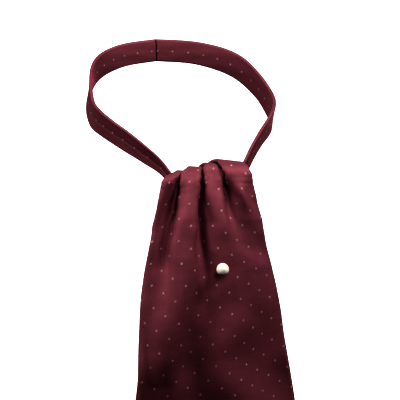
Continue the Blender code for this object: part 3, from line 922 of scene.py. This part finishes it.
def material_of(name):
    """An empty material with a Principled shader, and both."""
    material = bpy.data.materials.new(name)
    material.use_nodes = True
    return material, material.node_tree, material.node_tree.nodes["Principled BSDF"]


def set_all(shader, values):
    """Plain values on the shader's own sockets."""
    for key, value in values.items():
        shader.inputs[key].default_value = value


# How far a pin dot may stray from its place, and the slope of the twill's ribs.
DOT_STRAY = 0.0016
RIB_SLOPE = 0.62


def silk(name, look, cell, turn=0.0, skew=0.0, shift=(0.0, 0.0)):
    """Woven silk twill with pin dots, all on the cloth's own places in metres.

    A fine diagonal rib and lengthwise threads give the weave, slow noise gives
    clouding and small crumples, and each dot is a little raised. The dots' rows are
    turned by some degrees, their columns skewed from square, and both shifted.
    """
    material, tree, shader = material_of(name)
    uv = node(tree, "UVMap", uv_map="Cloth").outputs[0]
    cosine, sine = np.cos(np.radians(turn)), np.sin(np.radians(turn))
    row = (cosine + skew * sine, skew * cosine - sine, 0)
    lay = node(tree, "CombineXYZ", {
        0: vector(tree, "DOT_PRODUCT", uv, row, output=1),
        1: vector(tree, "DOT_PRODUCT", uv, (sine, cosine, 0), output=1),
    }).outputs[0]
    mapped = vector(tree, "ADD", lay, (*shift, 0))
    wander = node(tree, "TexNoise", {"Vector": mapped, "Scale": 38.0}).outputs["Color"]
    wander = vector(tree, "SUBTRACT", wander, (0.5, 0.5, 0.5))
    stray = vector(tree, "MULTIPLY", wander, (DOT_STRAY, DOT_STRAY, 0))
    mask, own = dots(tree, vector(tree, "ADD", mapped, stray), cell, look.dot_size / 2)

    parts = node(tree, "SeparateXYZ", {0: uv})
    wale = math(tree, "ADD", parts.outputs[0], math(tree, "MULTIPLY", parts.outputs[1], RIB_SLOPE))
    rib = math(tree, "SINE", math(tree, "MULTIPLY", wale, 2 * np.pi / look.rib))
    thread = noise(tree, vector(tree, "MULTIPLY", uv, (5200, 260, 1)), 1.0, 1.0)
    weft = noise(tree, vector(tree, "MULTIPLY", uv, (300, 4200, 1)), 1.0, 1.0)
    cloud = noise(tree, uv, 26.0, 3.0, 0.55)
    slub = noise(tree, vector(tree, "MULTIPLY", uv, (420, 18, 1)), 1.0, 2.0)

    tone = math(tree, "MULTIPLY", spread(tree, cloud, 0.86, 1.14), spread(tree, slub, 0.93, 1.07))
    tone = math(tree, "MULTIPLY", tone, spread(tree, thread, 0.90, 1.10))
    grey = node(tree, "CombineXYZ", {0: tone, 1: tone, 2: tone}).outputs[0]
    ground = vector(tree, "MULTIPLY", tuple(look.silk_colour), grey)
    worn = spread(tree, own, 0.78, 1.12)
    worn = node(tree, "CombineXYZ", {0: worn, 1: worn, 2: worn}).outputs[0]
    dot = vector(tree, "MULTIPLY", tuple(look.dot_colour), worn)
    colour = blend(tree, mask, ground, dot)
    tree.links.new(colour, shader.inputs["Base Color"])

    gloss = math(tree, "ADD", spread(tree, cloud, look.roughness - 0.05, look.roughness + 0.05),
                 spread(tree, thread, -0.03, 0.03))
    gloss = math(tree, "ADD", gloss, math(tree, "MULTIPLY", mask, 0.06))
    tree.links.new(gloss, shader.inputs["Roughness"])

    crumple = noise(tree, uv, 62.0, 3.0, 0.5)
    weave = math(tree, "ADD", math(tree, "MULTIPLY", rib, 0.5), math(tree, "ADD", thread, weft))
    relief = node(tree, "Bump", {"Strength": 0.3, "Distance": 0.0012, "Height": crumple}).outputs[0]
    for height, strength, depth in ((weave, 0.16, 0.00006), (mask, 0.6, 0.00014)):
        inputs = {"Strength": strength, "Distance": depth, "Height": height, "Normal": relief}
        relief = node(tree, "Bump", inputs).outputs[0]
    tree.links.new(relief, shader.inputs["Normal"])
    set_all(shader, {
        "Specular IOR Level": look.gloss,
        "Specular Tint": (1.0, 0.20, 0.34, 1),
        "Metallic": look.lustre,
        "Sheen Weight": look.sheen,
        "Sheen Roughness": 0.38,
        "Sheen Tint": (1.0, 0.58, 0.66, 1),
    })
    return material


def pearl_skin(name, look):
    """Nacre: cream with slow rose and warmer clouds, fine pale flecks, a soft body and a glossy coat."""
    material, tree, shader = material_of(name)
    place = node(tree, "TexCoord").outputs["Object"]
    slow = noise(tree, place, 240.0, 2.0)
    fine = noise(tree, place, 1500.0, 3.0)
    cream = tuple(look.pearl_colour)
    rose = (*(min(1.0, c * k) for c, k in zip(cream, (1.06, 0.90, 0.98))), 1)
    warm = (*(c * k for c, k in zip(cream, (0.98, 0.93, 0.76))), 1)
    body = blend(tree, spread(tree, slow, -0.3, 1.3), (*cream, 1), rose)
    body = blend(tree, spread(tree, noise(tree, place, 330.0, 1.0), -0.5, 1.2), body, warm)
    body = blend(tree, spread(tree, fine, 0.0, 0.12), body, (0.95, 0.92, 0.88, 1))
    tree.links.new(body, shader.inputs["Base Color"])
    tree.links.new(spread(tree, slow, 0.24, 0.34), shader.inputs["Roughness"])
    bump = node(tree, "Bump", {"Strength": 0.15, "Distance": 0.00008, "Height": slow})
    tree.links.new(bump.outputs[0], shader.inputs["Normal"])
    set_all(shader, {
        "Subsurface Weight": 0.25,
        "Subsurface Scale": 0.0012,
        "Subsurface Radius": (1.0, 0.7, 0.5),
        "Coat Weight": 0.6,
        "Coat Roughness": 0.12,
        "Sheen Weight": 0.1,
        "Sheen Tint": (1.0, 0.86, 0.92, 1),
    })
    return material


def gilt(name, look):
    """Gilt brass: brushed round by stretched noise, with dulled patches and small scratches."""
    material, tree, shader = material_of(name)
    place = node(tree, "TexCoord").outputs["Object"]
    patch = noise(tree, place, 420.0, 3.0)
    scratch = noise(tree, vector(tree, "MULTIPLY", place, (900, 2600, 9000)), 1.0, 2.0)
    dull = (*(c * 0.72 for c in look.metal_colour), 1)
    colour = blend(tree, spread(tree, patch, -0.2, 0.7), (*look.metal_colour, 1), dull)
    tree.links.new(colour, shader.inputs["Base Color"])
    rough = math(tree, "ADD", spread(tree, patch, 0.18, 0.30), spread(tree, scratch, -0.04, 0.06))
    tree.links.new(rough, shader.inputs["Roughness"])
    bump = node(tree, "Bump", {"Strength": 0.25, "Distance": 0.00003, "Height": scratch})
    tree.links.new(bump.outputs[0], shader.inputs["Normal"])
    set_all(shader, {"Metallic": 1.0})
    return material


def studio_floor(name):
    """A pale floor lit evenly by itself, with the faintest clouding."""
    material, tree, shader = material_of(name)
    place = node(tree, "TexCoord").outputs["Object"]
    colour = blend(tree, noise(tree, place, 0.6, 2.0), (0.86, 0.86, 0.86, 1), (0.90, 0.90, 0.895, 1))
    tree.links.new(colour, shader.inputs["Base Color"])
    tree.links.new(colour, shader.inputs["Emission Color"])
    set_all(shader, {"Roughness": 0.8, "Specular IOR Level": 0.1, "Emission Strength": 1.4})
    material.cycles.emission_sampling = "NONE"
    return material


def studio_air(name):
    """A pale surround for the camera, and only a trace of light on the cloth."""
    world = bpy.data.worlds.new(name)
    world.use_nodes = True
    tree = world.node_tree
    seen = node(tree, "LightPath").outputs["Is Camera Ray"]
    colour = blend(tree, seen, (0.012, 0.012, 0.0124, 1), (1.2, 1.2, 1.2, 1))
    tree.links.new(colour, tree.nodes["Background"].inputs["Color"])
    return world


# ---------------------------------------------------------------------------
# Sizes and colours that a user would change
# ---------------------------------------------------------------------------


def colour_property(name, description, default):
    """A colour picker without alpha."""
    return bpy.props.FloatVectorProperty(
        name=name, description=description, default=default, subtype="COLOR", size=3, min=0, max=1
    )


def length_property(name, description, default):
    """A length in metres."""
    return bpy.props.FloatProperty(
        name=name, description=description, default=default, min=0, unit="LENGTH", precision=5
    )


def share_property(name, description, default):
    """A value from 0 to 1."""
    return bpy.props.FloatProperty(
        name=name, description=description, default=default, min=0, max=1, subtype="FACTOR"
    )


class CravatSilk(bpy.types.PropertyGroup):
    """Colours, weave and finish of the silk."""

    silk_colour: colour_property("Silk", "Ground of the silk", (0.112, 0.0390, 0.0488))
    dot_colour: colour_property("Pin dots", "Colour of the pin dots", (0.225, 0.135, 0.150))
    dot_size: length_property("Dot size", "Width of one pin dot", 0.0016)
    cell: bpy.props.FloatVectorProperty(
        name="Dot cell",
        description="Width and height of the staggered lattice's cell on the blades",
        default=(0.0165, 0.0155),
        size=2,
        unit="LENGTH",
    )
    dot_turn: bpy.props.FloatProperty(
        name="Dot rows", description="Degrees by which the rows of dots rise across the front blade",
        default=16.0,
    )
    dot_skew: bpy.props.FloatProperty(
        name="Dot skew", description="How far the dots' columns stand back from that turn", default=0.18,
    )
    band_cell: length_property("Band dots", "Distance between the dots along the neckband", 0.0124)
    rib: length_property("Rib", "Pitch of the twill's diagonal ribs", 0.0005)
    roughness: share_property("Roughness", "Roughness of the silk's gloss", 0.75)
    gloss: share_property("Gloss", "Strength of the silk's gloss", 0.8)
    lustre: share_property("Lustre", "Share of the light that the dyed threads send back as gloss", 0.94)
    sheen: share_property("Sheen", "Strength of the silk's soft edge sheen", 0.03)


class CravatCloth(bpy.types.PropertyGroup):
    """Thicknesses of the cloth and the fineness of its surfaces."""

    blade_thickness: length_property("Blade", "Thickness of the lined blades", BLADE_THICK)
    band_thickness: length_property("Neckband", "Thickness of the folded neckband", BAND_THICK)
    wrap_thickness: length_property("Knot wrap", "Thickness of the wrapped cloth", WRAP_THICK)
    fineness: length_property("Fineness", "Most width of cloth between two columns", 0.001)


class CravatPin(bpy.types.PropertyGroup):
    """Sizes and colours of the pin."""

    pearl_radius: length_property("Pearl radius", "Radius of the pearl", PEARL_RADIUS)
    pearl_colour: colour_property("Pearl", "Body colour of the pearl", (0.365, 0.355, 0.305))
    metal_colour: colour_property("Gilt", "Colour of the gilt metal", (0.72, 0.50, 0.22))


# ---------------------------------------------------------------------------
# One operator for each piece or group of pieces
# ---------------------------------------------------------------------------


def place_on_frame(piece, node_name):
    """The piece moves with the frame's only body and stands for this solid, whose imported part is hidden.
    """
    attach(piece, "root")
    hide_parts(node_name)


def blade_drops(stretches, tip):
    """Drops of the rows: equal steps within each stretch, and a few short ones toward the tip."""
    rows = [np.arange(first, last, step) for first, last, step in stretches]
    return np.concatenate((*rows, tip - TIP_ROWS))


class CRAVAT_OT_front_blade(bpy.types.Operator):
    """Make the front blade, which falls over the arch in three knife pleats and spreads to a point"""

    bl_idname = "cravat.front_blade"
    bl_label = "Front blade"

    def execute(self, context):
        look, cloth = context.scene.cravat_silk, context.scene.cravat_cloth
        piece, flat, cut = blade(
            "front_blade_silk", table(BLADE_COLUMNS, FRONT_BLADE), blade_drops(FRONT_ROWS, FRONT_TIP),
            FRONT_TIP, (KNOT_Y, ARCH_TOP), front_section, cloth.fineness, cloth.blade_thickness,
            silk("front_blade_silk", look, tuple(look.cell), look.dot_turn, look.dot_skew, FRONT_DOTS),
        )
        place_on_frame(piece, "front_blade")
        return {"FINISHED"}


class CRAVAT_OT_under_blade(bpy.types.Operator):
    """Make the under blade, which hangs from the wrapped stretch behind the front blade"""

    bl_idname = "cravat.under_blade"
    bl_label = "Under blade"

    def execute(self, context):
        look, cloth = context.scene.cravat_silk, context.scene.cravat_cloth
        piece, flat, cut = blade(
            "under_blade_silk", table(UNDER_COLUMNS, UNDER_BLADE), blade_drops(UNDER_ROWS, UNDER_TIP),
            UNDER_TIP, (WRAP_Y, UNDER_TOP), under_section, cloth.fineness * UNDER_COARSER,
            cloth.blade_thickness, silk("under_blade_silk", look, tuple(look.cell), shift=UNDER_DOTS),
        )
        place_on_frame(piece, "under_blade")
        return {"FINISHED"}


class CRAVAT_OT_knot_wrap(bpy.types.Operator):
    """Make the stretch of cloth wrapped round the neck of the under blade"""

    bl_idname = "cravat.knot_wrap"
    bl_label = "Knot wrap"

    def execute(self, context):
        look, cloth = context.scene.cravat_silk, context.scene.cravat_cloth
        piece, flat, cut = wrap(
            "knot_wrap_silk", steps=41, around=160, thickness=cloth.wrap_thickness,
            material=silk("knot_wrap_silk", look, (look.band_cell,) * 2, BIAS),
        )
        place_on_frame(piece, "knot_wrap")
        return {"FINISHED"}


class CRAVAT_OT_neckbands(bpy.types.Operator):
    """Make the two halves of the neckband, which meet in a seam at the middle of the back"""

    bl_idname = "cravat.neckbands"
    bl_label = "Neckbands"

    def execute(self, context):
        look, cloth = context.scene.cravat_silk, context.scene.cravat_cloth
        for name, rows, side in (("left", BAND_LEFT, -1), ("right", BAND_RIGHT, 1)):
            piece, flat, cut = neckband(
                f"neckband_{name}_silk", rows, side, steps=260, around=56, thickness=cloth.band_thickness,
                material=silk(f"neckband_{name}_silk", look, (look.band_cell * np.sqrt(2),) * 2, BIAS),
            )
            place_on_frame(piece, f"neckband_{name}")
        return {"FINISHED"}


class CRAVAT_OT_pin(bpy.types.Operator):
    """Make the pearl pin: the pearl, its cup and post, and the clutch behind the cloth"""

    bl_idname = "cravat.pin"
    bl_label = "Pearl pin"

    def execute(self, context):
        pin = context.scene.cravat_pin
        radius, place = pin.pearl_radius, pin_frame()
        ball = arc(radius, centre=0, first=0, last=180, count=65)
        pearl = turned("pearl", ball, steps=96, material=pearl_skin("pearl", pin), ripple=uneven)
        pearl.data.transform(place @ Matrix.Translation((0, 0, PEARL_OUT)))

        metal = gilt("pin_metal", pin)
        profile = post_profile() + cup_profile(radius + CUP_GLUE)
        post = turned("pin_cup_and_post", profile, steps=64, material=metal)
        post.data.transform(place)
        clutch = turned("pin_clutch_cap", clutch_profile(), steps=144, material=metal, ripple=knurled)
        clutch.data.transform(place)

        place_on_frame(pearl, "pin_pearl")
        place_on_frame(post, "pin_post")
        place_on_frame(clutch, "pin_clutch")
        return {"FINISHED"}


# Studio lights: degrees to the camera's right and above it, power in watts and
# colour; the point that they aim at, their distance from it and their width.
STUDIO_LIGHTS = (
    ("key", 14, 31, 11.9, (1.0, 0.98, 0.97)),
    ("side", 73, 50, 28.4, (1.0, 0.99, 0.98)),
    ("left", -66, 41, 28.8, (1.0, 0.99, 0.98)),
    ("rear", 176, -13, 24.0, (1.0, 0.99, 0.98)),
)
LIGHT_AIM = np.array((-0.01, -0.09, -0.12))
LIGHT_REACH = 1.3
LIGHT_SIZE = 0.5

# Floor, at standing depth below the neck and wide enough to reach the horizon.
FLOOR_DEPTH = -1.42
FLOOR_RADIUS = 60.0

# Camera: degrees round from the front and above the level, its distance, its lens and
# film width in millimetres, how far to its right and above the neck's origin it is
# aimed, and the farthest that it sees.
CAMERA_AZIMUTH = -17.0
CAMERA_HEIGHT = 12.0
CAMERA_REACH = 1.4
CAMERA_LENS = 168.0
CAMERA_FILM = 36.0
CAMERA_SHIFT = (0.01425, -0.066)
CAMERA_FARTHEST = 200.0


def directions(azimuth, height):
    """Right, up and back of a view from this azimuth and height above the level."""
    a, e = np.radians(azimuth), np.radians(height)
    back = np.array((np.sin(a) * np.cos(e), -np.cos(a) * np.cos(e), np.sin(e)))
    right = np.array((np.cos(a), np.sin(a), 0))
    return right, np.cross(back, right), back


def looking(place, back, right):
    """Matrix of a camera or light at this place whose rays run against this direction."""
    back = np.array(back) / np.linalg.norm(back)
    up = np.cross(back, right)
    up /= np.linalg.norm(up)
    right = np.cross(up, back)
    turn = Matrix(np.stack((right, up, back), 1).tolist()).to_4x4()
    return Matrix.Translation(Vector(place)) @ turn


def area_light(name, way, power, colour):
    """A soft square light this way from the point that all of them aim at."""
    lamp = bpy.data.lights.new(name, "AREA")
    lamp.size = LIGHT_SIZE
    lamp.energy = power
    lamp.color = colour
    made = bpy.data.objects.new(name, lamp)
    made.matrix_world = looking(LIGHT_AIM + LIGHT_REACH * way, way, (-way[1], way[0], 0))
    bpy.context.scene.collection.objects.link(made)


def round_floor(name):
    """A flat disc that only the camera sees, so that it sends no light back to the cloth."""
    angle = np.linspace(0, 2 * np.pi, 64, endpoint=False)
    rim = FLOOR_RADIUS * np.stack((np.cos(angle), np.sin(angle)), 1)
    rim = np.concatenate((rim, np.full((len(rim), 1), FLOOR_DEPTH)), 1)
    mesh = bpy.data.meshes.new(name)
    mesh.from_pydata(rim.tolist(), [], [range(len(rim))])
    mesh.materials.append(studio_floor(name))
    floor = bpy.data.objects.new(name, mesh)
    bpy.context.scene.collection.objects.link(floor)
    floor.visible_diffuse = False
    floor.visible_glossy = False


class CRAVAT_OT_stage(bpy.types.Operator):
    """Make the pale floor at standing depth below the neck, the studio lights and the camera"""

    bl_idname = "cravat.stage"
    bl_label = "Stage"

    def execute(self, context):
        scene = context.scene
        scene.view_settings.view_transform = "Standard"
        scene.view_settings.look = "Very High Contrast"
        round_floor("studio_floor")
        scene.world = studio_air("studio")

        right, up, back = directions(CAMERA_AZIMUTH, CAMERA_HEIGHT)
        for name, azimuth, height, power, colour in STUDIO_LIGHTS:
            a, e = np.radians(azimuth), np.radians(height)
            way = back * np.cos(a) * np.cos(e) + right * np.sin(a) * np.cos(e) + up * np.sin(e)
            area_light(name, way, power, colour)

        camera = bpy.data.cameras.new("camera")
        camera.lens = CAMERA_LENS
        camera.sensor_width = CAMERA_FILM
        camera.clip_end = CAMERA_FARTHEST
        seen = bpy.data.objects.new("camera", camera)
        place = CAMERA_REACH * back + CAMERA_SHIFT[0] * right + CAMERA_SHIFT[1] * up
        seen.matrix_world = looking(place, back, right)
        scene.collection.objects.link(seen)
        scene.camera = seen
        return {"FINISHED"}


class VIEW3D_PT_cravat(bpy.types.Panel):
    """The cravat's settings, and its pieces in the order in which they are made."""

    bl_label = "Silk day cravat"
    bl_idname = "VIEW3D_PT_cravat"
    bl_space_type = "VIEW_3D"
    bl_region_type = "UI"
    bl_category = "Cravat"

    def draw(self, context):
        scene = context.scene
        for settings in (scene.cravat_cloth, scene.cravat_silk, scene.cravat_pin):
            box = self.layout.box()
            for name in settings.bl_rna.properties.keys():
                if name not in ("rna_type", "name"):
                    box.prop(settings, name)
        for maker in MAKERS:
            self.layout.operator(maker.bl_idname)


MAKERS = (
    CRAVAT_OT_front_blade,
    CRAVAT_OT_under_blade,
    CRAVAT_OT_knot_wrap,
    CRAVAT_OT_neckbands,
    CRAVAT_OT_pin,
    CRAVAT_OT_stage,
)
SETTINGS = (CravatSilk, CravatCloth, CravatPin)


def register():
    """Registers the settings, the operators and the panel."""
    for kind in (*SETTINGS, *MAKERS, VIEW3D_PT_cravat):
        bpy.utils.register_class(kind)
    bpy.types.Scene.cravat_silk = bpy.props.PointerProperty(type=CravatSilk)
    bpy.types.Scene.cravat_cloth = bpy.props.PointerProperty(type=CravatCloth)
    bpy.types.Scene.cravat_pin = bpy.props.PointerProperty(type=CravatPin)


def unregister():
    """Takes them all out again."""
    del bpy.types.Scene.cravat_silk
    del bpy.types.Scene.cravat_cloth
    del bpy.types.Scene.cravat_pin
    for kind in (VIEW3D_PT_cravat, *reversed(MAKERS), *reversed(SETTINGS)):
        bpy.utils.unregister_class(kind)


def main():
    register()
    for maker in MAKERS:
        group, name = maker.bl_idname.split(".")
        getattr(getattr(bpy.ops, group), name)()


if __name__ == "__main__":
    main()
